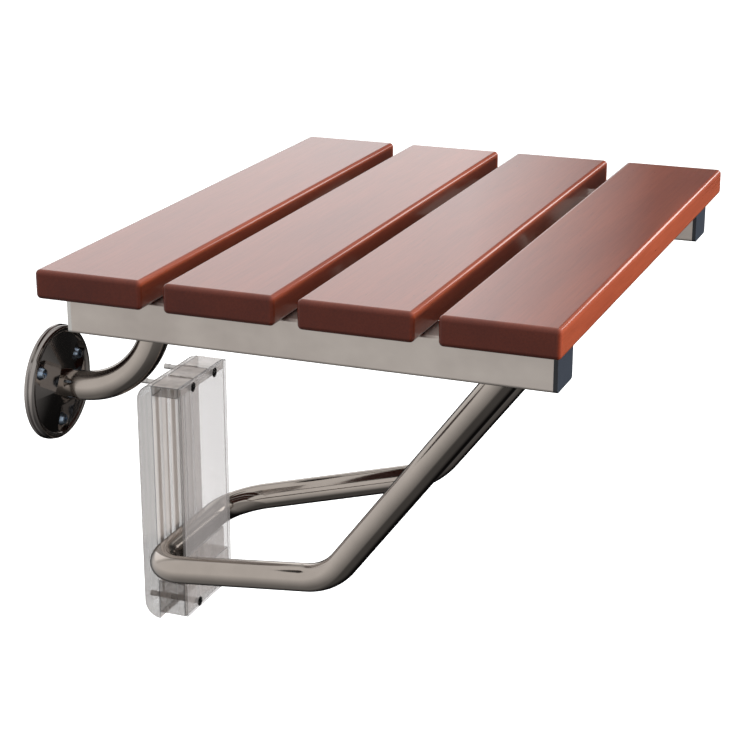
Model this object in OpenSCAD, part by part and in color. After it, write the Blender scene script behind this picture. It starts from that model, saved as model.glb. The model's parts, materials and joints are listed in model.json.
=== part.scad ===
// Fold down wall seat: four wooden slats on two steel rails, hinged to two wall elbows and held
// level by one bent tube leg. The leg's crossbar slides up inside a clear guide on the wall.
// The wall is the plane y = 0, the seat points to -y, x runs along the wall and z is up.
// The origin is on the wall, midway between the flanges, at the height of their centres.
// Left is -x and right is +x, as seen by someone who faces the wall.

/* [Slats] */
// Width of the seat along the wall
seat_width = 412; // [404:1:560]
// Size of one slat from front to back
slat_depth = 70; // [62:1:84]
// Open gap between two slats
slat_gap = 14; // [8:1:20]
// Thickness of a slat
slat_thickness = 18; // [16:0.5:22]
// Radius along a slat's long edges
slat_edge = 3; // [1:0.5:5]
// Gap between the wall and the first slat
slat_wall_gap = 29; // [27:1:34]

/* [Rails] */
// How far the rails' outer faces stand in from the seat's ends
rail_side_inset = 18; // [12:0.5:22]
// Width of a rail
rail_width = 30; // [28:1:36]
// Height of a rail
rail_height = 25; // [24:1:32]
// Wall of a rail's steel
rail_wall = 1.5; // [1.2:0.1:2]
// Outer corner radius of a rail
rail_corner = 2; // [1.8:0.1:3]
// Thickness of the steel plate that closes the wall end of a rail
end_plate = 2.5; // [1.5:0.5:4]
// How far the rail itself stops short of the seat's wall edge
rail_rear_inset = 13; // [11:1:16]
// How far the rail itself stops short of the seat's front edge
rail_front_inset = 9; // [6:1:12]
// Visible thickness of the plastic plug in a rail's front end
plug_face = 2.5; // [1.5:0.5:4]
// Length of the plug inside the rail
plug_length = 12; // [8:1:16]
// Room between the plug's body and the rail's wall
plug_room = 0.15; // [0.1:0.05:0.3]

/* [Tubes] */
// Outer diameter of the elbows and of the leg
tube_diameter = 19; // [18:0.5:21]
// Wall of the tubes
tube_wall = 1.5; // [1.2:0.1:2]
// How far a tube's open end passes its pivot
tube_end = 6.5; // [6:0.25:7]
// How much each face of a tube's wall is drawn in where it is bent
bend_thinning = 0.02; // [0.02:0.01:0.1]
// How far a bend runs on inside the straights it joins
bend_lap = 0.5; // [0.3:0.1:0.8]

/* [Wall elbows] */
// Distance from the wall to the hinge axis
hinge_reach = 76; // [74:1:80]
// Height of the hinge axis above the flange centres
hinge_rise = 63; // [61:1:68]
// Bend radius of an elbow
elbow_radius = 57; // [54:1:58]
// Distance from the middle of an elbow to the face of the rail beside it
elbow_gap = 16; // [14:0.5:18]
// Highest angle the seat folds up to, which sets the relief under the first slat
fold_angle = 84; // [70:1:84]
// Room around an elbow in the relief under the first slat
relief_room = 1.5; // [1:0.25:2]
// Width of the relief beyond each side of the tube
relief_side = 3; // [2:0.5:4]

/* [Wall flanges] */
// Diameter of a flange
flange_diameter = 74; // [70:1:80]
// Height of the flange's rim
rim_height = 6; // [5:0.5:7]
// Width of the rim
rim_width = 3; // [2:0.5:4]
// Height of the flange's dish where it meets the rim
dish_edge = 4.5; // [4:0.25:5]
// Height of the flange around the tube
hub_height = 10; // [8:0.5:12]
// Width of the flat ring around the tube
hub_width = 3; // [2:0.5:4]
// Thickness of the flange under a screw head
pocket_floor = 3.5; // [3:0.25:4]
// Width of the flat pocket around a screw
pocket_width = 17; // [14:0.5:18]
// Depth of the tube's seat above the wall
tube_seat = 2; // [1:0.5:3]
// Pitch circle of the three flange screws
screw_circle = 50; // [48:0.5:52]
// Shank diameter of a flange screw
flange_screw = 5; // [4:0.1:5]
// How far the flange and guide screws stand into the wall
wall_grip = 5; // [5:1:40]
// How much a wall screw's plain neck is drawn in from its thread
neck_step = 0.3; // [0.2:0.05:0.4]
// How far a wall screw's neck passes the face of the wall
neck_pass = 1; // [0.5:0.25:2]
// Head diameter of a flange screw
flange_head = 9; // [8:0.25:10]
// Head height of a flange screw
flange_head_height = 3; // [2:0.25:4]

/* [Pivots] */
// Diameter of the four pivot studs
stud_diameter = 8; // [7:0.5:8]
// Running clearance on the radius of every turning fit
running_room = 0.05; // [0.02:0.01:0.1]
// Clearance on the radius where a fastener passes a plate
pass_room = 0.15; // [0.1:0.05:0.3]
// Wall of a nylon bush
bush_wall = 1.5; // [1.25:0.25:2]
// Length of a hinge bush
hinge_bush_length = 20.4; // [20:0.1:20.8]
// Length of a leg bush
leg_bush_length = 24.4; // [24:0.1:25]
// End play between a bush and its neighbour
end_play = 0.3; // [0.2:0.05:0.5]
// Diameter of a spacer
spacer_diameter = 14; // [13:0.5:15]
// Diameter of a stud's head inside the rail
stud_head = 13; // [12:0.5:14]
// Thickness of a stud's head
stud_head_height = 4; // [3:0.5:5]
// Diameter of a washer
washer_diameter = 16; // [15:0.5:17]
// Thickness of a washer
washer_thickness = 1.6; // [1.2:0.1:2]
// Size of a pivot nut across its corners
nut_corners = 15; // [14:0.5:15]
// Height of a pivot nut
nut_height = 8; // [6:0.5:9]
// How far a stud passes its nut
stud_tip = 1.5; // [1:0.5:2]

/* [Leg] */
// Distance from the seat's front edge back to the leg pivots
leg_inset = 33.5; // [33:0.5:36]
// Distance from the hinge axis out to the leg's knees
knee_reach = 94.4; // [90:0.2:98]
// Drop from the hinge axis to the knees
knee_drop = 191.7; // [188:0.1:195]
// How far a knee stands in from the middle of its elbow
knee_inset = 44.6; // [42:0.2:48]
// Bend radius at a knee
knee_radius = 52; // [45:1:60]
// Distance from an arm's seam out to the corner where it leaves the crossbar's line
foot_stand = 29.4; // [27:0.1:32]
// Straight length between an arm's seam and its first bend
foot_straight = 1; // [0.8:0.1:3]
// Drop from the hinge axis to the crossbar
bar_drop = 222.5; // [219:0.5:226]
// Distance from the wall to the middle of the crossbar
bar_reach = 22; // [21:0.1:24]
// Width of the cut between the crossbar and each arm
bar_seam = 0.1; // [0.1:0.05:0.3]

/* [Guide] */
// Width of the clear guide
guide_width = 72; // [60:1:72]
// Room between the guide's sides and the leg's arms
guide_side_room = 0.4; // [0.3:0.1:0.6]
// Room between the crossbar and the guide's front and back
slide_room = 0.5; // [0.4:0.1:0.8]
// Distance from the lowered crossbar up to the guide's top
guide_up = 123.5; // [123.5:0.5:130]
// Distance from the lowered crossbar down to the bottom of the guide's front layers
guide_down = 49; // [46:1:60]
// How far the guide's back layer passes the front layers at the bottom
back_drop = 5; // [0:1:8]
// Thickness of the front sheet
sheet_depth = 2.6; // [2:0.1:3]
// Height of the top block
top_block = 7.5; // [7:0.25:7.5]
// Height of the bottom block
bottom_block = 25; // [20:1:28]
// Radius of the flutes in the guide's wall face
flute_radius = 3; // [2:0.5:4]
// Distance between the flutes in the wall face
flute_spacing = 24; // [20:1:24]
// Radius of the two notches across the guide's top
notch_radius = 1.5; // [1:0.25:2]
// Radius of the grooves behind the sheet
groove_radius = 2; // [1:0.25:2.5]
// Distance between the grooves
groove_spacing = 12; // [10:0.5:12]
// Width of the cradle under the lowered crossbar
cradle_width = 60; // [40:1:60]
// Distance from the crossbar's middle down to the cradle's lips
cradle_drop = 5; // [4:0.5:7]
// Room around the crossbar in the cradle
cradle_room = 0.3; // [0.2:0.05:0.35]
// Distance between the left and right guide screws
guide_screw_spacing = 34; // [31:1:40]
// Distance from a guide screw to the guide's top or bottom edge
guide_screw_inset = 4.25; // [4:0.25:4.5]
// Shank diameter of a guide screw
guide_screw = 4; // [3:0.25:4.25]
// Head diameter of a guide screw
guide_screw_head = 7; // [6.5:0.25:7.5]
// Depth of a guide screw's countersunk head
guide_screw_sink = 1.8; // [1.4:0.1:1.9]

/* [Slat screws] */
// Shank diameter of a slat screw
slat_screw = 4.2; // [3.5:0.1:5]
// Head diameter of a slat screw
slat_screw_head = 8; // [7:0.25:9]
// Head height of a slat screw
slat_screw_head_height = 2.2; // [2:0.1:3]
// How deep a slat screw goes into its slat
slat_screw_bite = 11; // [8:0.5:12]
// Diameter of the hole under each slat screw for the driver
driver_hole = 10; // [9.5:0.25:12]
// Sideways shift of the first and last slat's screws, clear of the pivots
screw_shift = 24; // [23:0.5:24]
// Width of the blades of a cross recess
recess_width = 1; // [0.8:0.1:1.2]
// Length of a cross recess
recess_length = 5; // [4:0.25:5.5]
// Depth of a cross recess
recess_depth = 1.4; // [1:0.1:1.6]

/* [Hidden] */
$fn = 64;
sides = [-1, 1];
screw_angles = [30, 150, 270];
last_slat = 4;
slat_pitch = slat_depth + slat_gap;
seat_depth = last_slat * slat_depth + (last_slat - 1) * slat_gap;
seat_front = slat_wall_gap + seat_depth;
// The pivots are at the middle of the rails' height.
rail_top = hinge_rise + rail_height / 2;
rail_bottom = hinge_rise - rail_height / 2;
rail_rear = slat_wall_gap + rail_rear_inset;
rail_front = seat_front - rail_front_inset;
rail_span = seat_width - 2 * rail_side_inset;
rail_middle = (rail_span - rail_width) / 2;
rail_inner = rail_span / 2 - rail_width;
elbow_offset = rail_inner - elbow_gap;
knee_offset = elbow_offset - knee_inset;
leg_reach = seat_front - leg_inset;
bush_radius = stud_diameter / 2 + running_room + bush_wall;
tube_radius = tube_diameter / 2;
arm_start = guide_width / 2 + guide_side_room;
// Corners of the leg's right arm.
leg_pivot = [elbow_offset, -leg_reach, hinge_rise];
knee = [knee_offset, -hinge_reach - knee_reach, hinge_rise - knee_drop];
foot = [arm_start + foot_stand, -bar_reach, hinge_rise - bar_drop];
bar_height = hinge_rise - bar_drop;
// Depths of the guide's layers, measured from the wall.
back_depth = bar_reach - tube_radius - slide_room;
sheet_back = bar_reach + tube_radius + slide_room;
guide_depth = sheet_back + sheet_depth;
guide_top = bar_height + guide_up;
guide_bottom = bar_height - guide_down;
block_top = guide_bottom + bottom_block;
guide_screw_heights = [guide_top - guide_screw_inset, guide_bottom + guide_screw_inset];
// Cut margin, so that no cut ends on a face.
past = tube_wall;

function unit(v) = v / norm(v);
function slat_middle(i) = slat_wall_gap + slat_depth / 2 + (i - 1) * slat_pitch;
function slat_screw_reach(i) =
  slat_middle(i) + (i == 1 ? screw_shift : i == last_slat ? -screw_shift : 0);
function turn(a, b) = acos(unit(a) * unit(b));
function setback(a, b, r) = r * tan(turn(a, b) / 2);

// Turns a child drawn up the z axis to point away from the wall.
module from_wall(x, z) translate([x, 0, z]) rotate([90, 0, 0]) children();

// Turns a child drawn up the z axis to point along the pivots, away from the middle on its side.
module across(side, x, y, z) translate([side * x, y, z]) rotate([0, side * 90, 0]) children();

// Wall of a tube, thinned by the given amount on both faces.
module tube_section(thinned = 0) difference() {
  circle(tube_radius - thinned);
  circle(tube_radius - tube_wall + thinned);
}

// Bend from the z direction towards x, starting at the origin and lapping both straights.
module tube_bend(angle, r) {
  lap = atan(bend_lap / r);
  translate([r, 0, 0]) rotate([-90, 0, 0]) rotate(180 - lap)
    rotate_extrude(angle = angle + 2 * lap) translate([r, 0]) tube_section(bend_thinning);
}

// Bent tube that starts up the z axis. Each stage is [roll, straight length, turn, bend radius].
module tube_path(stages) {
  roll = stages[0][0];
  length = stages[0][1];
  rotate(roll) linear_extrude(length) tube_section();
  if (len(stages) > 1) rotate(roll) translate([0, 0, length]) {
    angle = stages[0][2];
    r = stages[0][3];
    tube_bend(angle, r);
    translate([r, 0, 0]) rotate([0, angle, 0]) translate([-r, 0, 0])
      tube_path([for (i = [1:len(stages) - 1]) stages[i]]);
  }
}

module rounded_section(w, h, r) {
  square([w, h - 2 * r], center = true);
  square([w - 2 * r, h], center = true);
  for (x = sides, y = sides) translate([x * (w / 2 - r), y * (h / 2 - r)]) circle(r);
}

module cross_recess(top) for (a = [0, 90])
  translate([0, 0, top]) rotate(a) cube([recess_length, recess_width, 2 * recess_depth], center = true);

module flange_pocket() {
  translate([screw_circle / 2, 0, pocket_floor]) cylinder(d = pocket_width, h = hub_height);
  translate([tube_radius + hub_width, -pocket_width / 2, pocket_floor])
    cube([screw_circle / 2 - tube_radius - hub_width, pocket_width, hub_height]);
}

module wall_flange(side) color("DimGray") from_wall(side * elbow_offset, 0) difference() {
  union() {
    cylinder(d = flange_diameter, h = dish_edge);
    difference() {
      cylinder(d = flange_diameter, h = rim_height);
      translate([0, 0, dish_edge]) cylinder(d = flange_diameter - 2 * rim_width, h = rim_height);
    }
    translate([0, 0, dish_edge])
      cylinder(
        r1 = flange_diameter / 2 - rim_width, r2 = tube_radius + hub_width, h = hub_height - dish_edge
      );
  }
  translate([0, 0, tube_seat]) cylinder(r = tube_radius, h = hub_height);
  for (a = screw_angles) rotate(a) {
    flange_pocket();
    translate([screw_circle / 2, 0, -past]) cylinder(d = flange_screw + 2 * pass_room, h = hub_height);
  }
}

// Shank of a wall screw: its thread in the wall, then a slimmer plain neck up to its head.
module wall_shank(d, head) {
  translate([0, 0, -wall_grip]) cylinder(d = d, h = wall_grip - neck_pass);
  translate([0, 0, -neck_pass]) cylinder(d = d - 2 * neck_step, h = neck_pass + head);
}

module flange_screws() color("SlateGray")
  for (s = sides, a = screw_angles) from_wall(s * elbow_offset, 0) rotate(a)
    translate([screw_circle / 2, 0, 0]) difference() {
      union() {
        wall_shank(flange_screw, pocket_floor);
        translate([0, 0, pocket_floor])
          cylinder(d1 = flange_head, d2 = recess_length + recess_width, h = flange_head_height);
      }
      cross_recess(pocket_floor + flange_head_height);
    }

module hinge_elbow(side) color("Silver") difference() {
  translate([side * elbow_offset, -tube_seat, 0]) rotate([90, 0, 0]) tube_path([
    [90, hinge_reach - elbow_radius - tube_seat, 90, elbow_radius],
    [0, hinge_rise + tube_end - elbow_radius]
  ]);
  across(side, elbow_offset - tube_diameter, -hinge_reach, hinge_rise)
    cylinder(r = bush_radius, h = 2 * tube_diameter);
}

module bush(side, y, length) across(side, elbow_offset - length / 2, y, hinge_rise) difference() {
  cylinder(r = bush_radius, h = length);
  translate([0, 0, -past]) cylinder(r = stud_diameter / 2 + running_room, h = length + 2 * past);
}

module hinge_bushes() color("WhiteSmoke")
  for (s = sides) bush(s, -hinge_reach, hinge_bush_length);

// Space that an elbow needs under the first slat when the seat is folded: the slat's rear part
// that lies outside the elbow's inner curve, seen from the seat.
module elbow_relief(side) {
  width = tube_diameter + 2 * relief_side;
  lift = elbow_radius - hinge_rise;
  curve_y = -hinge_reach + elbow_radius * cos(fold_angle) - lift * sin(fold_angle);
  curve_z = hinge_rise + elbow_radius * sin(fold_angle) + lift * cos(fold_angle);
  translate([side * elbow_offset - width / 2, curve_y, rail_top - past]) difference() {
    cube([width, -curve_y, slat_thickness]);
    translate([-past, 0, curve_z - rail_top + past]) rotate([0, 90, 0])
      cylinder(r = elbow_radius - tube_radius - relief_room, h = width + 2 * past);
  }
}

module slat(i) color("Sienna") difference() {
  translate([0, -slat_middle(i), rail_top + slat_thickness / 2]) rotate([90, 0, 90])
    linear_extrude(seat_width, center = true) rounded_section(slat_depth, slat_thickness, slat_edge);
  for (s = sides) {
    translate([s * rail_middle, -slat_screw_reach(i), rail_top - past])
      cylinder(d = slat_screw, h = slat_screw_bite + past);
    if (i == 1) elbow_relief(s);
  }
}

module slat_1() slat(1);
module slat_2() slat(2);
module slat_3() slat(3);
module slat_4() slat(4);

// Draws a child along a rail, from the reach it is given towards the seat's front.
module along_rail(side, reach) translate([side * rail_middle, -reach, hinge_rise])
  rotate([90, 0, 0]) children();

module side_rail(side) color("DarkGray") difference() {
  along_rail(side, rail_rear) linear_extrude(rail_front - rail_rear) difference() {
    rounded_section(rail_width, rail_height, rail_corner);
    square([rail_width - 2 * rail_wall, rail_height - 2 * rail_wall], center = true);
  }
  for (y = [-hinge_reach, -leg_reach])
    across(side, rail_inner - past, y, hinge_rise)
      cylinder(d = stud_diameter + 2 * pass_room, h = rail_wall + 2 * past);
  for (i = [1:last_slat]) translate([side * rail_middle, -slat_screw_reach(i), 0]) {
    translate([0, 0, rail_bottom - past]) cylinder(d = driver_hole, h = rail_wall + 2 * past);
    translate([0, 0, rail_top - rail_wall - past])
      cylinder(d = slat_screw + 2 * pass_room, h = rail_wall + 2 * past);
  }
}

module rail_end_plates() color("Gainsboro")
  for (s = sides) along_rail(s, rail_rear - end_plate) linear_extrude(end_plate)
    rounded_section(rail_width, rail_height, rail_corner);

module rail_plugs() color("DarkSlateGray") for (s = sides) {
  along_rail(s, rail_front) linear_extrude(plug_face)
    rounded_section(rail_width, rail_height, rail_corner);
  along_rail(s, rail_front - plug_length) linear_extrude(plug_length)
    square([
      rail_width - 2 * (rail_wall + plug_room), rail_height - 2 * (rail_wall + plug_room)
    ], center = true);
}

module slat_screws() color("SlateGray")
  for (s = sides, i = [1:last_slat])
    translate([s * rail_middle, -slat_screw_reach(i), rail_top - rail_wall]) difference() {
      union() {
        translate([0, 0, -slat_screw_head_height])
          cylinder(d = slat_screw_head, h = slat_screw_head_height);
        cylinder(d = slat_screw, h = rail_wall + slat_screw_bite);
      }
      cross_recess(-slat_screw_head_height);
    }

// A pivot's pieces, from the rail inwards: head, rail wall, spacer, bush, washer, nut and tip.
function washer_face(length) = elbow_offset - length / 2 - end_play;
function nut_face(length) = washer_face(length) - washer_thickness;
function stud_end(length) = nut_face(length) - nut_height - stud_tip;

module studs(y, length) color("Silver") for (s = sides) {
  across(s, stud_end(length), y, hinge_rise)
    cylinder(d = stud_diameter, h = rail_inner + rail_wall - stud_end(length));
  across(s, rail_inner + rail_wall, y, hinge_rise) cylinder(d = stud_head, h = stud_head_height);
}

module spacers(y, length) color("WhiteSmoke") for (s = sides) {
  start = elbow_offset + length / 2 + end_play;
  across(s, start, y, hinge_rise) difference() {
    cylinder(d = spacer_diameter, h = rail_inner - start);
    translate([0, 0, -past])
      cylinder(d = stud_diameter + 2 * pass_room, h = rail_inner - start + 2 * past);
  }
}

module washers(y, length) color("Gray") for (s = sides)
  across(s, nut_face(length), y, hinge_rise) difference() {
    cylinder(d = washer_diameter, h = washer_thickness);
    translate([0, 0, -past])
      cylinder(d = stud_diameter + 2 * pass_room, h = washer_thickness + 2 * past);
  }

module nuts(y, length) color("Gray") for (s = sides)
  across(s, nut_face(length) - nut_height, y, hinge_rise) difference() {
    cylinder(d = nut_corners, h = nut_height, $fn = 6);
    translate([0, 0, -past]) cylinder(d = stud_diameter, h = nut_height + 2 * past);
  }

module hinge_studs() studs(-hinge_reach, hinge_bush_length);
module hinge_spacers() spacers(-hinge_reach, hinge_bush_length);
module hinge_washers() washers(-hinge_reach, hinge_bush_length);
module hinge_nuts() nuts(-hinge_reach, hinge_bush_length);
module leg_studs() studs(-leg_reach, leg_bush_length);
module leg_spacers() spacers(-leg_reach, leg_bush_length);
module leg_washers() washers(-leg_reach, leg_bush_length);
module leg_nuts() nuts(-leg_reach, leg_bush_length);

// The leg's right arm runs from the crossbar's end to its own open top end.
module right_arm() {
  bar_way = [1, 0, 0];
  low_way = unit(knee - foot);
  arm_way = unit(leg_pivot - knee);
  foot_turn = turn(bar_way, low_way);
  foot_plane = unit(low_way - bar_way * (low_way * bar_way));
  knee_plane = unit(arm_way - low_way * (arm_way * low_way));
  rolled = foot_plane * cos(foot_turn) - bar_way * sin(foot_turn);
  foot_cut = foot_stand - foot_straight;
  knee_cut = setback(low_way, arm_way, knee_radius);
  translate([arm_start, foot[1], foot[2]]) rotate([atan2(foot_plane[1], -foot_plane[2]), 0, 0])
    rotate([0, 90, 0]) tube_path([
      [0, foot_straight, foot_turn, foot_cut / tan(foot_turn / 2)],
      [
        atan2(knee_plane * cross(bar_way, foot_plane), knee_plane * rolled),
        norm(knee - foot) - foot_cut - knee_cut, turn(low_way, arm_way), knee_radius
      ],
      [0, norm(leg_pivot - knee) - knee_cut + tube_end]
    ]);
}

module leg_arm(side) color("Silver") difference() {
  mirror([side < 0 ? 1 : 0, 0, 0]) right_arm();
  across(side, elbow_offset - tube_diameter, -leg_reach, hinge_rise)
    cylinder(r = bush_radius, h = 2 * tube_diameter);
}

module leg_crossbar() color("Silver") translate([0, -bar_reach, bar_height]) rotate([0, 90, 0])
  linear_extrude(2 * (arm_start - bar_seam), center = true) tube_section();

module leg_bushes() color("WhiteSmoke")
  for (s = sides) bush(s, -leg_reach, leg_bush_length);

// Draws a child's section, depth along x and height along y, across the guide's width.
module across_guide(width) rotate([90, 0, -90]) linear_extrude(width, center = true) children();

module at_guide_screws() for (s = sides, z = guide_screw_heights)
  from_wall(s * guide_screw_spacing / 2, z) children();

module guide_screw_holes() at_guide_screws()
  translate([0, 0, -past]) cylinder(d = guide_screw + 2 * pass_room, h = guide_depth + 2 * past);

// Notches across the guide's top, in line with the flutes.
module top_notches() for (s = sides) from_wall(s * flute_spacing / 2, guide_top)
  translate([0, 0, -past]) cylinder(r = notch_radius, h = guide_depth);

module guide_back_layer() color("LightGray", 0.6) difference() {
  across_guide(guide_width) intersection() {
    translate([0, guide_bottom - back_drop])
      square([back_depth, guide_top - guide_bottom + back_drop]);
    union() {
      for (z = [guide_top - back_depth, guide_bottom - back_drop + back_depth])
        translate([back_depth, z]) circle(back_depth);
      translate([0, guide_bottom - back_drop + back_depth])
        square([back_depth, guide_top - guide_bottom + back_drop - 2 * back_depth]);
    }
  }
  for (s = sides) translate([s * flute_spacing / 2, 0, guide_bottom - back_drop - past])
    cylinder(r = flute_radius, h = guide_top - guide_bottom + back_drop + 2 * past);
  for (i = [-2:2]) translate([i * groove_spacing, -back_depth, block_top])
    cylinder(r = groove_radius, h = guide_top - top_block - block_top, $fn = 32);
  guide_screw_holes();
  top_notches();
}

module guide_block(bottom, height) color("Gainsboro", 0.7) difference() {
  translate([-guide_width / 2, -sheet_back, bottom])
    cube([guide_width, sheet_back - back_depth, height]);
  guide_screw_holes();
  top_notches();
}

module guide_top_block() guide_block(guide_top - top_block, top_block);
module guide_bottom_block() guide_block(guide_bottom, bottom_block);

// Block between the guide's layers, with a round seat in which the lowered crossbar rests.
module guide_cradle() color("Gainsboro", 0.7) difference() {
  translate([-cradle_width / 2, -sheet_back, block_top])
    cube([cradle_width, sheet_back - back_depth, bar_height - cradle_drop - block_top]);
  translate([0, -bar_reach, bar_height]) rotate([0, 90, 0])
    cylinder(r = tube_radius + cradle_room, h = cradle_width + 2 * past, center = true);
}

module guide_front_sheet() color("WhiteSmoke", 0.4) difference() {
  translate([-guide_width / 2, -guide_depth, guide_bottom])
    cube([guide_width, sheet_depth, guide_top - guide_bottom]);
  guide_screw_holes();
  at_guide_screws() translate([0, 0, guide_depth - guide_screw_sink])
    cylinder(d1 = guide_screw, d2 = guide_screw_head, h = guide_screw_sink);
}

module guide_screws() color("DimGray") at_guide_screws() difference() {
  union() {
    wall_shank(guide_screw, guide_depth - guide_screw_sink);
    translate([0, 0, guide_depth - guide_screw_sink])
      cylinder(d1 = guide_screw, d2 = guide_screw_head, h = guide_screw_sink);
  }
  cross_recess(guide_depth);
}

module wall_flange_left() wall_flange(-1);
module wall_flange_right() wall_flange(1);
module hinge_elbow_left() hinge_elbow(-1);
module hinge_elbow_right() hinge_elbow(1);
module leg_arm_left() leg_arm(-1);
module leg_arm_right() leg_arm(1);
module side_rail_left() side_rail(-1);
module side_rail_right() side_rail(1);

wall_flange_left();
wall_flange_right();
flange_screws();
hinge_elbow_left();
hinge_elbow_right();
hinge_bushes();
slat_1();
slat_2();
slat_3();
slat_4();
side_rail_left();
side_rail_right();
rail_end_plates();
rail_plugs();
slat_screws();
hinge_studs();
hinge_spacers();
hinge_washers();
hinge_nuts();
leg_studs();
leg_spacers();
leg_washers();
leg_nuts();
leg_arm_left();
leg_arm_right();
leg_crossbar();
leg_bushes();
guide_back_layer();
guide_top_block();
guide_bottom_block();
guide_cradle();
guide_front_sheet();
guide_screws();
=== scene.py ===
# %% [markdown]
# # Fold down wall seat
# Four lacquered slats on two steel rails, held off the wall by bent tube elbows and by a tube leg
# whose crossbar slides in a clear guide on the wall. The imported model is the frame: it gives every
# piece its place. The long smooth pieces are made again here, finer, and the small ones are carried
# over with materials.

# %%
import json
import math

import bmesh
import bpy
from mathutils import Matrix, Vector


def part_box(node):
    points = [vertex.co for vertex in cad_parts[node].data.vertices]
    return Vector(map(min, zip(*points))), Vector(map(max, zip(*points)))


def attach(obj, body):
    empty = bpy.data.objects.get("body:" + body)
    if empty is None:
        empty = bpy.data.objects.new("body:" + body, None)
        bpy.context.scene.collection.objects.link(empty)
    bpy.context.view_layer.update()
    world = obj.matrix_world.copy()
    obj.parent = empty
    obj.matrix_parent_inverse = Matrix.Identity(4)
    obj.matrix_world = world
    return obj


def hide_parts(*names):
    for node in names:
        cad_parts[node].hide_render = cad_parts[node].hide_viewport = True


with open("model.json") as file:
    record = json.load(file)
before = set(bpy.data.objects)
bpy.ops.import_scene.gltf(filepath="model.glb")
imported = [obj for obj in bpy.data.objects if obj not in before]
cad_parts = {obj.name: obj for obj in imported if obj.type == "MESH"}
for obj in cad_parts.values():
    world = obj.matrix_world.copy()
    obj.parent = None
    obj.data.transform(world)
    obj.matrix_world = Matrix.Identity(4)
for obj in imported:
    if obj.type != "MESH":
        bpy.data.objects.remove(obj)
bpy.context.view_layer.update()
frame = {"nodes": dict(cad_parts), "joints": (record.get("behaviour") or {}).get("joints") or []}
nodes = frame["nodes"]
joints = {j["name"]: j for j in frame["joints"]}

# %% [markdown]
# ## Sizes, in metres
# Sizes that a node's box can't give.

# %%
# Tubes: the leg's arms and crossbar, and the two elbows.
TUBE_RADIUS = 0.0095
TUBE_WALL = 0.0015
TUBE_END = 0.0065
BUSH_RADIUS = 0.00555
ELBOW_OFFSET = 0.142
ELBOW_RADIUS = 0.057
KNEE = Vector((0.0974, -0.1704, -0.1287))
KNEE_RADIUS = 0.052
FOOT_OFFSET = 0.0658
FOOT_STRAIGHT = 0.001
ARM_START = 0.0364

# Slats, and the relief under the first one for each elbow.
SLAT_EDGE = 0.003
RELIEF_SIDE = 0.003
RELIEF_ROOM = 0.0015
RELIEF_SKIN = 0.0015
FOLD_ANGLE = math.radians(84)

# Wall flanges: a dish with a thin plate and a bead for its rim, a hub in the middle, and a pocket
# for each screw. Floors and heights are off the wall.
SCREW_ANGLES = [math.radians(a) for a in (30, 150, 270)]
SCREW_CIRCLE_RADIUS = 0.025
SCREW_HOLE_RADIUS = 0.00265
POCKET_RADIUS = 0.0085
POCKET_FLOOR = 0.0035
SOCKET_FLOOR = 0.002
HUB_RADIUS = 0.0125
HUB_HEIGHT = 0.010
RIM_HEIGHT = 0.006
BEAD_RADIUS = 0.0024
BEAD_INSET = 0.0029
PLATE_HEIGHT = 0.0018
PLATE_STEP = 0.0005
FLANGE_EDGE = 0.0006

# Clear guide: screw holes, two notches across the top, flutes and grooves in the back layer.
CLEAR_EDGE = 0.0005
GUIDE_SCREW_X = 0.017
GUIDE_SCREW_INSET = 0.00425
GUIDE_HOLE_RADIUS = 0.00215
GUIDE_SCREW_FRONT = -0.030
FLUTE_X = 0.012
FLUTE_RADIUS = 0.003
NOTCH_RADIUS = 0.0015
GROOVE_SPACING = 0.012
GROOVE_RADIUS = 0.002
CRADLE_ROOM = 0.0003

# How far a cutter stands out of what it cuts, and how close two points are when they are one.
PAST = 0.001
SAME_POINT = 1e-6

# Edges sharper than these angles, in degrees, stay sharp: on a plain mesh and on a bevelled one.
SHARP_ANGLE = 32
BEVELLED_SHARP_ANGLE = 50

HINGE = Vector(joints["seat_fold"]["pos_m"])
LEG_PIVOT = Vector(joints["leg_swing"]["pos_m"])
BAR = sum(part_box("leg_crossbar"), Vector()) / 2

# %% [markdown]
# ## Materials
# Each material is one function. `new_material` sets up a Principled surface, and `vary` lets a
# noise change its colour and roughness a little.

# %%
WOOD_TONES = [
    (0.30, (0.18, 0.033, 0.0145)),
    (0.50, (0.215, 0.042, 0.0175)),
    (0.72, (0.255, 0.052, 0.021)),
]
WOOD_FIBRES = [(0.32, (0.62, 0.58, 0.55)), (0.62, (1.0, 1.0, 1.0))]
WOOD_PORES = [(0.22, (0.25, 0.2, 0.2)), (0.30, (1.0, 1.0, 1.0))]
# Painted shade: a darker colour for the slats' sawn ends, which the key light doesn't reach.
PAINTED_END_SHADE = (0.78, 0.62, 0.62, 1)
END_GLOSS = 0.35
SATIN_TONES = [(0.35, (0.50, 0.445, 0.405)), (0.68, (0.62, 0.56, 0.51))]


def new_material(name, **values):
    """A material with one Principled shader, and the values of its sockets."""
    material = bpy.data.materials.new(name)
    material.use_nodes = True
    shader = material.node_tree.nodes["Principled BSDF"]
    for socket, value in values.items():
        shader.inputs[socket.replace("_", " ")].default_value = value
    return material, material.node_tree, shader


def add(tree, kind, **values):
    """A node, with values for its properties or its input sockets."""
    node = tree.nodes.new("ShaderNode" + kind)
    for name, value in values.items():
        if hasattr(node, name):
            setattr(node, name, value)
        else:
            node.inputs[name.replace("_", " ")].default_value = value
    return node


def place(tree, scale, shift=(0, 0, 0)):
    """The row frame's coordinates, scaled for a texture."""
    source = add(tree, "TexCoord")
    mapping = add(tree, "Mapping", Scale=scale, Location=shift)
    tree.links.new(source.outputs["Object"], mapping.inputs["Vector"])
    return mapping.outputs["Vector"]


def noise(tree, vector, scale, detail, roughness=0.55):
    """A noise field from 0 to 1."""
    node = add(tree, "TexNoise", Scale=scale, Detail=detail, Roughness=roughness)
    tree.links.new(vector, node.inputs["Vector"])
    return node.outputs["Fac"]


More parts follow.
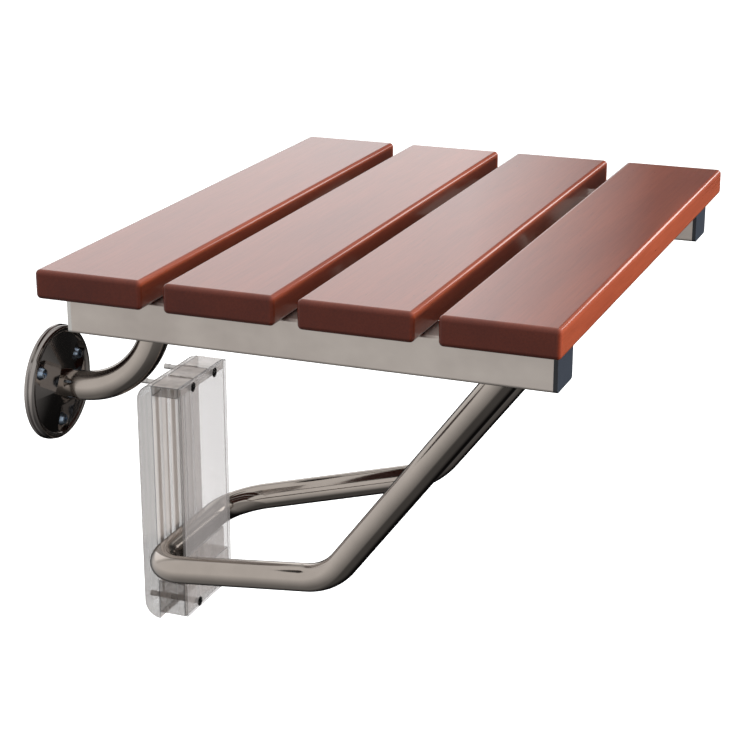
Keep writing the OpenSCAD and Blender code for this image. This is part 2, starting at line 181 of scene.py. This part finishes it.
def ramp(tree, value, stops):
    """A colour ramp from a list of (position, colour)."""
    node = add(tree, "ValToRGB")
    points = node.color_ramp.elements
    for i, (position, colour) in enumerate(stops):
        point = points[i] if i < 2 else points.new(position)
        point.position = position
        point.color = (*colour, 1)
    tree.links.new(value, node.inputs["Fac"])
    return node.outputs["Color"]


def between(tree, value, low, high):
    """A number from low to high as value goes from 0 to 1."""
    node = add(tree, "MapRange")
    node.inputs["To Min"].default_value = low
    node.inputs["To Max"].default_value = high
    tree.links.new(value, node.inputs["Value"])
    return node.outputs["Result"]


def mix(tree, factor, a, b, kind="MIX"):
    """A blend of two colours. Each value is a socket or a constant."""
    node = add(tree, "MixRGB", blend_type=kind)
    for socket, value in zip(node.inputs, (factor, a, b)):
        if isinstance(value, bpy.types.NodeSocket):
            tree.links.new(value, socket)
        else:
            socket.default_value = value
    return node.outputs["Color"]


def bump(tree, shader, height, strength, distance):
    """Fine relief in the shading, from a field of heights."""
    node = add(tree, "Bump", Strength=strength, Distance=distance)
    tree.links.new(height, node.inputs["Height"])
    tree.links.new(node.outputs["Normal"], shader.inputs["Normal"])


def vary(tree, shader, field, colour, darkest, roughness, stops=(0.3, 0.7)):
    """Colour from a darkest share of itself up to itself, and roughness from low to high."""
    tones = [(stops[0], tuple(c * darkest for c in colour)), (stops[1], colour)]
    tree.links.new(ramp(tree, field, tones), shader.inputs["Base Color"])
    tree.links.new(between(tree, field, *roughness), shader.inputs["Roughness"])


def along_axis(tree, vector, axis):
    """One coordinate of a vector."""
    parts = add(tree, "SeparateXYZ")
    tree.links.new(vector, parts.inputs["Vector"])
    return parts.outputs[axis]


def facing_sideways(tree):
    """1 where the surface faces along the wall, as the slats' sawn ends do, and 0 on long faces."""
    size = add(tree, "Math", operation="ABSOLUTE")
    tree.links.new(along_axis(tree, add(tree, "TexCoord").outputs["Normal"], "X"), size.inputs[0])
    return size.outputs["Value"]


def lacquered_wood(name, shift):
    """Red-brown wood under gloss lacquer: long soft figure, fine fibres and short dark pores."""
    material, tree, shader = new_material(name, Roughness=0.5, Coat_Roughness=0.09)
    shader.inputs["Specular IOR Level"].default_value = 0.2
    figure = noise(tree, place(tree, (2.2, 14, 14), shift), 2.0, 5.0)
    fibres = noise(tree, place(tree, (9, 260, 260), shift), 3.0, 3.0)
    pores = noise(tree, place(tree, (60, 700, 700), shift), 1.6, 2.0, 0.5)
    colour = ramp(tree, figure, WOOD_TONES)
    colour = mix(tree, 0.4, colour, ramp(tree, fibres, WOOD_FIBRES), "MULTIPLY")
    colour = mix(tree, 0.6, colour, ramp(tree, pores, WOOD_PORES), "MULTIPLY")
    # End grain soaks up more lacquer, so it is less glossy. Its darker colour is painted shade for
    # the sawn ends, which the key light doesn't reach.
    ends = facing_sideways(tree)
    colour = mix(tree, ends, colour, PAINTED_END_SHADE, "MULTIPLY")
    tree.links.new(colour, shader.inputs["Base Color"])
    tree.links.new(between(tree, ends, 1.0, END_GLOSS), shader.inputs["Coat Weight"])
    bump(tree, shader, fibres, 0.05, 0.0003)
    return material


def satin_steel():
    """Steel brushed along the rails, with faint clouds."""
    material, tree, shader = new_material("satin_steel", Metallic=1.0)
    brushed = noise(tree, place(tree, (900, 6, 900)), 1.0, 3.0)
    cloud = noise(tree, place(tree, (30, 22, 30)), 1.0, 3.0)
    tree.links.new(ramp(tree, cloud, SATIN_TONES), shader.inputs["Base Color"])
    tree.links.new(between(tree, cloud, 0.30, 0.46), shader.inputs["Roughness"])
    bump(tree, shader, brushed, 0.05, 0.0002)
    return material


def polished_steel(name, colour, low, high):
    """Polished steel, its roughness between low and high in clouds."""
    material, tree, shader = new_material(name, Metallic=1.0)
    cloud = noise(tree, place(tree, (40, 40, 40)), 1.0, 3.0)
    fine = noise(tree, place(tree, (700, 700, 700)), 1.0, 2.0)
    vary(tree, shader, cloud, colour, 0.9, (low, high))
    bump(tree, shader, fine, 0.02, 0.0001)
    return material


def small_metal(name, colour, roughness):
    """The plain metal of screws, studs, nuts and plates."""
    material, tree, shader = new_material(name, Metallic=1.0)
    fine = noise(tree, place(tree, (900, 900, 900)), 1.0, 2.0)
    vary(tree, shader, fine, colour, 0.9, (roughness * 0.8, roughness * 1.2))
    return material


def dark_headed(name, head, shank, front):
    """A screw with a blackened head: dark where it is further out than front."""
    material, tree, shader = new_material(name, Metallic=1.0)
    fine = noise(tree, place(tree, (900, 900, 900)), 1.0, 2.0)
    outside = add(tree, "Math", operation="LESS_THAN")
    outside.inputs[1].default_value = front
    tree.links.new(along_axis(tree, place(tree, (1, 1, 1)), "Y"), outside.inputs[0])
    tint = mix(tree, outside.outputs["Value"], (*shank, 1), (*head, 1))
    tree.links.new(tint, shader.inputs["Base Color"])
    tree.links.new(between(tree, fine, 0.28, 0.42), shader.inputs["Roughness"])
    return material


def moulded(name, colour, roughness):
    """Moulded plastic with a fine matt grain."""
    material, tree, shader = new_material(name)
    fine = noise(tree, place(tree, (1400, 1400, 1400)), 1.0, 2.0)
    vary(tree, shader, fine, colour, 0.85, (roughness * 0.85, roughness * 1.15))
    bump(tree, shader, fine, 0.08, 0.0001)
    return material


def clear_plastic(name, colour, roughness, facing, edge, streaks=0.82):
    """Clear plastic with upright streaks: see-through face on, and denser where it turns away."""
    material, tree, shader = new_material(name, IOR=1.46)
    cloud = noise(tree, place(tree, (150, 150, 4)), 1.0, 1.0)
    vary(tree, shader, cloud, colour, streaks, (roughness * 0.7, roughness * 1.3), (0.36, 0.62))
    turned = add(tree, "LayerWeight", Blend=0.35)
    tree.links.new(between(tree, turned.outputs["Facing"], facing, edge), shader.inputs["Alpha"])
    bump(tree, shader, cloud, 0.1, 0.0003 * (1 - streaks))
    return material


WOODS = [lacquered_wood(f"lacquered_wood_{i}", (1.7 * i, 0.31 * i, 0.13 * i)) for i in range(1, 5)]
SATIN = satin_steel()
POLISHED = polished_steel("polished_steel", (0.47, 0.415, 0.37), 0.07, 0.14)
DARK_POLISHED = polished_steel("dark_polished_steel", (0.36, 0.33, 0.31), 0.08, 0.16)
BRIGHT = small_metal("bright_steel", (0.66, 0.64, 0.61), 0.25)
ZINC = small_metal("zinc_screws", (0.34, 0.42, 0.52), 0.28)
BLACK_HEADED = dark_headed(
    "guide_screws", (0.05, 0.05, 0.055), (0.55, 0.53, 0.51), GUIDE_SCREW_FRONT
)
NYLON = moulded("nylon", (0.72, 0.72, 0.68), 0.45)
BLACK = moulded("black_plastic", (0.022, 0.026, 0.034), 0.38)
CLEAR = clear_plastic("clear_plastic", (0.45, 0.39, 0.35), 0.10, 0.44, 0.78)
SHEET = clear_plastic("clear_sheet", (0.22, 0.205, 0.20), 0.06, 0.36, 0.58, 0.93)
CLEAR_LINE = clear_plastic("clear_edges", (0.22, 0.205, 0.20), 0.08, 0.75, 0.95)

# %% [markdown]
# ## Mesh tools

# %%


def new_mesh(name, verts, faces):
    """An object with a mesh, its faces pointing outwards and shaded smooth between sharp edges."""
    mesh = bpy.data.meshes.new(name)
    mesh.from_pydata([tuple(v) for v in verts], [], faces)
    mesh.validate()
    thing = bpy.data.objects.new(name, mesh)
    bpy.context.scene.collection.objects.link(thing)
    bm = bmesh.new()
    bm.from_mesh(mesh)
    bmesh.ops.remove_doubles(bm, verts=bm.verts, dist=SAME_POINT)
    bmesh.ops.recalc_face_normals(bm, faces=bm.faces)
    bm.to_mesh(mesh)
    bm.free()
    smooth(thing)
    return thing


def mesh_piece(name, verts, faces, material, body, replaced):
    """A new piece with a material, in place of a CAD node, on one body."""
    piece = new_mesh(name, verts, faces)
    piece.data.materials.append(material)
    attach(piece, body)
    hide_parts(replaced)
    return piece


def smooth(piece, angle=SHARP_ANGLE):
    """Smooth shading, but for edges over the angle."""
    piece.data.shade_smooth()
    piece.data.set_sharp_from_angle(angle=math.radians(angle))


def apply_all(piece):
    """Makes a piece's modifiers part of its mesh."""
    bpy.context.view_layer.update()
    evaluated = piece.evaluated_get(bpy.context.evaluated_depsgraph_get())
    done = bpy.data.meshes.new_from_object(evaluated)
    piece.modifiers.clear()
    piece.data = done


def flatten_normals(piece):
    """Keeps large faces flat next to narrow rounded edges."""
    modifier = piece.modifiers.new("normals", "WEIGHTED_NORMAL")
    modifier.keep_sharp = True
    apply_all(piece)


def cut(piece, tool):
    """Cuts a tool's solid out of a piece."""
    modifier = piece.modifiers.new("cut", "BOOLEAN")
    modifier.operation = "DIFFERENCE"
    modifier.solver = "EXACT"
    modifier.object = tool
    apply_all(piece)
    bpy.data.objects.remove(tool)
    smooth(piece)
    flatten_normals(piece)


def bevel(piece, width, segments, angle=40, edge_material=None):
    """Rounds the edges over an angle, if asked in a material of their own."""
    modifier = piece.modifiers.new("bevel", "BEVEL")
    modifier.width = width
    modifier.segments = segments
    modifier.limit_method = "ANGLE"
    modifier.angle_limit = math.radians(angle)
    modifier.use_clamp_overlap = True
    if edge_material:
        piece.data.materials.append(edge_material)
        modifier.material = 1
    apply_all(piece)
    smooth(piece, BEVELLED_SHARP_ANGLE)
    flatten_normals(piece)


def closed(count):
    """Faces that join two outlines of so many points, one after the other, and close both."""
    faces = [(i, (i + 1) % count, count + (i + 1) % count, count + i) for i in range(count)]
    return faces + [tuple(range(count)), tuple(range(count, 2 * count))]


def arc(start, sweep, steps=24):
    """Angles in radians along an arc that is given in degrees."""
    return [math.radians(start + sweep * i / steps) for i in range(steps + 1)]


def box_mesh(low, high):
    """Corners and faces of a box."""
    xs, ys, zs = zip(low, high)
    verts = [(x, y, z) for x in xs for y in ys for z in zs]
    faces = [(0, 1, 3, 2), (4, 6, 7, 5), (0, 4, 5, 1), (2, 3, 7, 6), (0, 2, 6, 4), (1, 5, 7, 3)]
    return verts, faces


def rod_mesh(start, end, radius, sides=64):
    """A round bar from start to end."""
    way = (end - start).normalized()
    u = way.orthogonal().normalized()
    v = way.cross(u)
    turns = [2 * math.pi * i / sides for i in range(sides)]
    ring = [radius * (u * math.cos(t) + v * math.sin(t)) for t in turns]
    return [c + r for c in (start, end) for r in ring], closed(sides)


def bent_line(corners, radii, step=math.radians(2.5)):
    """Points along straight lines that meet in arcs, one radius for each inner corner."""
    points = [corners[0]]
    for before, corner, after, radius in zip(corners, corners[1:], corners[2:], radii):
        a = (corner - before).normalized()
        b = (after - corner).normalized()
        angle = a.angle(b)
        side = (b - a * a.dot(b)).normalized()
        start = corner - a * radius * math.tan(angle / 2)
        centre = start + side * radius
        count = max(2, math.ceil(angle / step))
        for i in range(count + 1):
            t = angle * i / count
            points.append(centre - side * radius * math.cos(t) + a * radius * math.sin(t))
    return points + [corners[-1]]


def ways_along(points):
    """The direction of a line at each of its points."""
    ways = []
    for i in range(len(points)):
        back = points[max(i - 1, 0)]
        ahead = points[min(i + 1, len(points) - 1)]
        ways.append((ahead - back).normalized())
    return ways


def tube_mesh(points, outer, inner, sides=64):
    """A hollow tube along a line, with its ends cut square."""
    ways = ways_along(points)
    u = ways[0].orthogonal().normalized()
    rings = []
    for point, way in zip(points, ways):
        u = (u - way * u.dot(way)).normalized()
        v = way.cross(u)
        turns = [2 * math.pi * i / sides for i in range(sides)]
        spokes = [u * math.cos(t) + v * math.sin(t) for t in turns]
        rings.append(([point + outer * s for s in spokes], [point + inner * s for s in spokes]))
    loop = [ring[0] for ring in rings] + [ring[1] for ring in reversed(rings)]
    verts = [v for ring in loop for v in ring]
    count = len(loop)
    faces = []
    for r in range(count):
        for i in range(sides):
            a, b = r * sides + i, r * sides + (i + 1) % sides
            c, d = ((r + 1) % count) * sides + (i + 1) % sides, ((r + 1) % count) * sides + i
            faces.append((a, b, c, d))
    return verts, faces


# %% [markdown]
# ## Slats
# Bevelled on every edge. The first slat is relieved underneath, over each elbow.

# %%


def relief(slat, side):
    """Cuts the first slat's rear part where the folded seat would meet an elbow."""
    fold = Matrix.Translation(HINGE) @ Matrix.Rotation(FOLD_ANGLE, 4, "X")
    centre = fold @ Vector((0, ELBOW_RADIUS, ELBOW_RADIUS - HINGE.z))
    x = side * ELBOW_OFFSET
    half = TUBE_RADIUS + RELIEF_SIDE
    low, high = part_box("slat_1")
    ends = [Vector((x + way * 2 * half, centre.y, centre.z)) for way in (-1, 1)]
    inner = ELBOW_RADIUS - TUBE_RADIUS - RELIEF_ROOM
    corners = (x - half, centre.y, low.z - PAST), (x + half, 0, high.z - RELIEF_SKIN)
    tool = new_mesh("relief", *box_mesh(*corners))
    cut(tool, new_mesh("curve", *rod_mesh(*ends, inner, sides=180)))
    cut(slat, tool)


for i, wood in enumerate(WOODS, start=1):
    low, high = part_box(f"slat_{i}")
    slat = mesh_piece(f"slat_{i}_lacquered", *box_mesh(low, high), wood, "seat", f"slat_{i}")
    bevel(slat, SLAT_EDGE, 6)
    if i == 1:
        relief(slat, -1)
        relief(slat, 1)

# %% [markdown]
# ## Bent tubes
# Each arm of the leg runs from its pivot down to the crossbar, and each elbow from its flange up
# to its pivot. All four have cross holes for the nylon bushes.

# %%


def cross_hole(piece, side, centre):
    """Drills a tube through along the wall, for its bush."""
    start = Vector((side * (ELBOW_OFFSET - 2 * TUBE_RADIUS), centre.y, centre.z))
    end = Vector((side * (ELBOW_OFFSET + 2 * TUBE_RADIUS), centre.y, centre.z))
    cut(piece, new_mesh("drill", *rod_mesh(start, end, BUSH_RADIUS)))


def leg_arm(side, name):
    """From above the pivot down to the knee, back to the foot, and in to the crossbar's end."""
    pivot = Vector((ELBOW_OFFSET, LEG_PIVOT.y, LEG_PIVOT.z))
    end = pivot + (pivot - KNEE).normalized() * TUBE_END
    corners = [end, KNEE, Vector((FOOT_OFFSET, BAR.y, BAR.z)), Vector((ARM_START, BAR.y, BAR.z))]
    corners = [Vector((side * p.x, p.y, p.z)) for p in corners]
    turn = (corners[2] - corners[1]).angle(corners[3] - corners[2])
    foot_radius = (FOOT_OFFSET - ARM_START - FOOT_STRAIGHT) / math.tan(turn / 2)
    line = bent_line(corners, [KNEE_RADIUS, foot_radius])
    tube = tube_mesh(line, TUBE_RADIUS, TUBE_RADIUS - TUBE_WALL)
    arm = mesh_piece(name + "_polished", *tube, POLISHED, "leg", name)
    cross_hole(arm, side, LEG_PIVOT)


def crossbar():
    """The straight tube between the two arms' ends."""
    low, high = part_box("leg_crossbar")
    ends = [Vector((x, BAR.y, BAR.z)) for x in (low.x, high.x)]
    tube = tube_mesh(ends, TUBE_RADIUS, TUBE_RADIUS - TUBE_WALL)
    mesh_piece("leg_crossbar_polished", *tube, POLISHED, "crossbar", "leg_crossbar")


def hinge_elbow(side, name):
    """From the flange out to under the hinge, and up to it."""
    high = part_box(name)[1]
    x = side * ELBOW_OFFSET
    corners = [Vector((x, high.y, 0)), Vector((x, HINGE.y, 0)), Vector((x, HINGE.y, high.z))]
    tube = tube_mesh(bent_line(corners, [ELBOW_RADIUS]), TUBE_RADIUS, TUBE_RADIUS - TUBE_WALL)
    elbow = mesh_piece(name + "_polished", *tube, POLISHED, "wall_bracket", name)
    cross_hole(elbow, side, HINGE)


leg_arm(-1, "leg_arm_left")
leg_arm(1, "leg_arm_right")
crossbar()
hinge_elbow(-1, "hinge_elbow_left")
hinge_elbow(1, "hinge_elbow_right")

# %% [markdown]
# ## Wall flanges
# A turned dish with a round bead on a thin plate for its rim, and three flat pockets for its
# screws.

# %%


def lathe_mesh(profile, centre, sides=96):
    """Turns an outline of (radius, height off the wall) about the flange's axis."""
    count = len(profile)
    verts = []
    for i in range(sides):
        t = 2 * math.pi * i / sides
        verts += [centre + Vector((r * math.cos(t), -h, r * math.sin(t))) for r, h in profile]
    faces = []
    for i in range(sides):
        for k in range(count - 1):
            a, b = i * count + k, ((i + 1) % sides) * count + k
            faces.append((a, a + 1, b + 1, b))
    faces.append(tuple(i * count for i in range(sides)))
    faces.append(tuple(i * count + count - 1 for i in range(sides)))
    return verts, faces


def off_wall(height):
    """A step away from the wall."""
    return Vector((0, -height, 0))


def pocket_mesh(centre, way):
    """A flat-floored slot around one screw, open towards the tube."""
    across = Vector((-way.z, 0, way.x))
    screw = centre + way * SCREW_CIRCLE_RADIUS
    outline = [centre + way * HUB_RADIUS - across * POCKET_RADIUS]
    outline += [
        screw + POCKET_RADIUS * (way * math.cos(t) + across * math.sin(t)) for t in arc(-90, 180)
    ]
    outline.append(centre + way * HUB_RADIUS + across * POCKET_RADIUS)
    verts = [p + off_wall(h) for h in (POCKET_FLOOR, 2 * HUB_HEIGHT) for p in outline]
    return verts, closed(len(outline))


def wall_flange(side, name):
    """The dish, with its pockets, screw holes and a socket for the elbow."""
    low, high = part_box(name)
    outer = (high.x - low.x) / 2
    centre = Vector((side * ELBOW_OFFSET, 0, 0))
    middle, height = outer - BEAD_INSET, RIM_HEIGHT - BEAD_RADIUS
    profile = [(outer, 0), (outer, PLATE_HEIGHT), (outer - PLATE_STEP, PLATE_HEIGHT + PLATE_STEP)]
    for t in arc(-25, 175, steps=16):
        profile.append((middle + BEAD_RADIUS * math.cos(t), height + BEAD_RADIUS * math.sin(t)))
    profile.append((HUB_RADIUS, HUB_HEIGHT))
    flange = mesh_piece(
        name + "_polished", *lathe_mesh(profile, centre), DARK_POLISHED, "wall_bracket", name
    )
    for angle in SCREW_ANGLES:
        way = Vector((math.cos(angle), 0, math.sin(angle)))
        cut(flange, new_mesh("pocket", *pocket_mesh(centre, way)))
        screw = centre + way * SCREW_CIRCLE_RADIUS
        ends = screw + off_wall(-PAST), screw + off_wall(HUB_HEIGHT)
        cut(flange, new_mesh("hole", *rod_mesh(*ends, SCREW_HOLE_RADIUS)))
    ends = centre + off_wall(SOCKET_FLOOR), centre + off_wall(2 * HUB_HEIGHT)
    cut(flange, new_mesh("socket", *rod_mesh(*ends, TUBE_RADIUS)))
    bevel(flange, FLANGE_EDGE, 3, 35)


wall_flange(-1, "wall_flange_left")
wall_flange(1, "wall_flange_right")

# %% [markdown]
# ## Clear guide
# A back layer, two blocks, a front sheet and a cradle, with fine bevels that catch the light. Then
# the screw holes, the notches across the top, and the flutes and grooves of the back layer.

# %%


def prism_mesh(outline, left, right):
    """A shape with one outline of (y, z) points from left to right."""
    return [(x, y, z) for x in (left, right) for y, z in outline], closed(len(outline))


def clear_piece(name, mesh, material):
    """A bevelled clear piece in place of a node."""
    piece = mesh_piece(name + "_clear", *mesh, material, "wall_bracket", name)
    bevel(piece, CLEAR_EDGE, 3, edge_material=CLEAR_LINE)
    return piece


def drill(piece, name, start, end, radius, sides=32):
    """Cuts a round bar out of a piece, from one (x, y, z) to another."""
    cut(piece, new_mesh(name, *rod_mesh(Vector(start), Vector(end), radius, sides)))


def screw_holes(piece):
    """Four holes from front to back, near the front sheet's corners."""
    low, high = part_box("guide_front_sheet")
    for x in (-GUIDE_SCREW_X, GUIDE_SCREW_X):
        for z in (low.z + GUIDE_SCREW_INSET, high.z - GUIDE_SCREW_INSET):
            drill(piece, "drill", (x, PAST, z), (x, low.y - PAST, z), GUIDE_HOLE_RADIUS)


def top_notches(piece):
    """Two small notches across the guide's top, over the flutes."""
    low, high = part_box("guide_front_sheet")
    for x in (-FLUTE_X, FLUTE_X):
        drill(piece, "notch", (x, PAST, high.z), (x, low.y, high.z), NOTCH_RADIUS)


def back_layer():
    """The layer on the wall, its ends rounded off behind, with flutes behind and grooves in front."""
    low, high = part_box("guide_back_layer")
    r = high.y - low.y
    outline = [(low.y + r * math.cos(t), high.z - r + r * math.sin(t)) for t in arc(0, 90)]
    outline += [(low.y + r * math.sin(t), low.z + r - r * math.cos(t)) for t in arc(0, 90)]
    piece = clear_piece("guide_back_layer", prism_mesh(outline, low.x, high.x), CLEAR)
    screw_holes(piece)
    for x in (-FLUTE_X, FLUTE_X):
        drill(piece, "flute", (x, 0, low.z - PAST), (x, 0, high.z + PAST), FLUTE_RADIUS, 48)
    start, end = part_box("guide_bottom_block")[1].z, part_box("guide_top_block")[0].z
    for i in range(-2, 3):
        x = i * GROOVE_SPACING
        drill(piece, "groove", (x, low.y, start), (x, low.y, end), GROOVE_RADIUS)
    top_notches(piece)


def cradle():
    """The rest under the lowered crossbar."""
    low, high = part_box("guide_cradle")
    piece = clear_piece("guide_cradle", box_mesh(low, high), CLEAR)
    ends = (low.x - PAST, BAR.y, BAR.z), (high.x + PAST, BAR.y, BAR.z)
    drill(piece, "seat", *ends, TUBE_RADIUS + CRADLE_ROOM, 64)


back_layer()
cradle()
for name, material in (
    ("guide_top_block", CLEAR),
    ("guide_bottom_block", CLEAR),
    ("guide_front_sheet", SHEET),
):
    screw_holes(clear_piece(name, box_mesh(*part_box(name)), material))
top_notches(bpy.data.objects["guide_top_block_clear"])

# %% [markdown]
# ## Carried-over nodes
# Their shapes are right already, so they only get their materials.

# %%
FINISHES = {
    "side_rail_left": SATIN,
    "side_rail_right": SATIN,
    "rail_end_plates": BRIGHT,
    "rail_plugs": BLACK,
    "flange_screws": ZINC,
    "slat_screws": ZINC,
    "hinge_bushes": NYLON,
    "leg_bushes": NYLON,
    "hinge_spacers": NYLON,
    "leg_spacers": NYLON,
    "hinge_studs": BRIGHT,
    "leg_studs": BRIGHT,
    "hinge_washers": BRIGHT,
    "leg_washers": BRIGHT,
    "hinge_nuts": BRIGHT,
    "leg_nuts": BRIGHT,
    "guide_screws": BLACK_HEADED,
}
for name, material in FINISHES.items():
    nodes[name].data.materials.clear()
    nodes[name].data.materials.append(material)
    smooth(nodes[name])

# %% [markdown]
# ## Floor, light and camera
# A pale floor at seat height below the slats' tops, a soft key light over the seat's front, and a
# bright room with darker parts that the polished tubes mirror.

# %%
SEAT_HEIGHT = 0.48
FLOOR_SIZE = 40
FLOOR_TONES = [(0.3, (0.90, 0.90, 0.90)), (0.7, (0.92, 0.92, 0.92))]
FLOOR_LIFT = (0.36, 0.36, 0.36, 1)
WHITE = (1, 1, 1, 1)
NO_LIGHT = (0, 0, 0, 1)

CAMERA_PLACE = (-1.1444, -0.6124, 0.3997)
CAMERA_WAY = Vector((0.8810, 0.3453, -0.3236))
LENS = 92.06
SENSOR = 36

# Each lamp's place, aim, size and power, and whether gloss mirrors it. The edge light is small and
# far beyond the seat, so only the slats' rounded front edges and the crossbar mirror it.
LAMPS = {
    "key": ((0.35, -2.1, 0.3), (0, -0.2, 0), (1.4, 0.6), 92, False),
    "edge_light": ((1.4, -0.72, 0.44), (0, -0.25, 0.09), (0.3, 0.3), 0.9, True),
}

# The room's parts. Each has a direction, the cosines to it between which the part begins and is
# full, and the brightness outside and inside it. All but soft_sky are seen by gloss only. The
# window lies beyond the wall and to the right, and the parts about it show from behind.
ROOM = {
    "dark_side": ((0.92, -0.02, -0.38), 0.40, 0.74, 0.88, 0.04),
    "above_ground": ((0, 0, 1), -0.9, -0.1, 0.25, 1.0),
    "dark_below": ((0.1, -0.8, -0.6), 0.32, 0.46, 1.0, 0.42),
    "window_edge": ((-0.208, 0.978, 0), 0.015, 0.11, 0.08, 1.3),
    "window_top": ((0, 0, 1), 0.34, 0.5, 1.0, 0.35),
    "window_side": ((0.809, 0.588, 0), 0.7, 0.85, 0.0, 1.0),
    "above_horizon": ((0, 0, 1), -0.02, 0.1, 0.0, 1.0),
    "soft_sky": ((0.45, -0.1, 0.88), -0.3, 0.6, 0.04, 1.3),
}


def floor():
    """A pale floor that the camera sees, and that neither mirrors in the seat nor lights it."""
    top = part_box("slat_1")[1].z
    half = FLOOR_SIZE / 2
    mesh = bpy.data.meshes.new("floor")
    corners = [(-half, -half), (half, -half), (half, half), (-half, half)]
    mesh.from_pydata([(x, y, top - SEAT_HEIGHT) for x, y in corners], [], [(0, 1, 2, 3)])
    plane = bpy.data.objects.new("floor", mesh)
    bpy.context.scene.collection.objects.link(plane)
    material, tree, shader = new_material("pale_floor", Roughness=0.9)
    grain = noise(tree, place(tree, (3, 3, 3)), 1.0, 2.0)
    tree.links.new(ramp(tree, grain, FLOOR_TONES), shader.inputs["Base Color"])
    rays = add(tree, "LightPath")
    lift = mix(tree, rays.outputs["Is Camera Ray"], NO_LIGHT, FLOOR_LIFT)
    tree.links.new(lift, shader.inputs["Emission Color"])
    shader.inputs["Emission Strength"].default_value = 1.0
    plane.data.materials.append(material)
    plane.visible_glossy = False
    plane.visible_diffuse = False


def area_light(name, place_at, aim, size, power, in_gloss):
    """A rectangular lamp that shines from a place towards an aim."""
    lamp = bpy.data.lights.new(name, "AREA")
    lamp.shape = "RECTANGLE"
    lamp.size, lamp.size_y = size
    lamp.energy = power
    holder = bpy.data.objects.new(name, lamp)
    bpy.context.scene.collection.objects.link(holder)
    holder.location = place_at
    holder.rotation_euler = (Vector(aim) - Vector(place_at)).to_track_quat("-Z", "Y").to_euler()
    holder.visible_glossy = in_gloss


def toward(tree, way, low, high, away, near):
    """A brightness that goes from away to near as a ray turns towards a direction."""
    source = add(tree, "TexCoord")
    dot = add(tree, "VectorMath", operation="DOT_PRODUCT")
    dot.inputs[1].default_value = Vector(way).normalized()
    tree.links.new(source.outputs["Generated"], dot.inputs[0])
    node = add(tree, "MapRange")
    for name, value in (("From Min", low), ("From Max", high), ("To Min", away), ("To Max", near)):
        node.inputs[name].default_value = value
    tree.links.new(dot.outputs["Value"], node.inputs["Value"])
    return node.outputs["Result"]


def product(tree, *values):
    """All of the values, multiplied."""
    result = values[0]
    for value in values[1:]:
        result = mix(tree, 1.0, result, value, "MULTIPLY")
    return result


def room():
    """White to the camera. Gloss sees the ROOM's window and dark parts, the rest a soft sky."""
    world = bpy.data.worlds.new("room")
    bpy.context.scene.world = world
    world.use_nodes = True
    tree = world.node_tree
    back = tree.nodes["Background"]
    part = {name: toward(tree, *row) for name, row in ROOM.items()}
    gloss = product(tree, part["dark_side"], part["above_ground"], part["dark_below"])
    window = product(tree, part["window_edge"], part["window_top"], part["window_side"])
    behind = mix(tree, part["above_horizon"], gloss, window)
    gloss = mix(tree, part["window_side"], gloss, behind)
    rays = add(tree, "LightPath")
    colour = mix(tree, rays.outputs["Is Glossy Ray"], part["soft_sky"], gloss)
    for ray in ("Is Camera Ray", "Is Transmission Ray"):
        colour = mix(tree, rays.outputs[ray], colour, WHITE)
    tree.links.new(colour, back.inputs["Color"])
    back.inputs["Strength"].default_value = 1.0


def camera():
    data = bpy.data.cameras.new("camera")
    data.lens = LENS
    data.sensor_width = SENSOR
    holder = bpy.data.objects.new("camera", data)
    bpy.context.scene.collection.objects.link(holder)
    holder.location = CAMERA_PLACE
    holder.rotation_euler = CAMERA_WAY.to_track_quat("-Z", "Y").to_euler()
    bpy.context.scene.camera = holder


floor()
for name, values in LAMPS.items():
    area_light(name, *values)
room()
camera()
bpy.context.scene.view_settings.view_transform = "Standard"
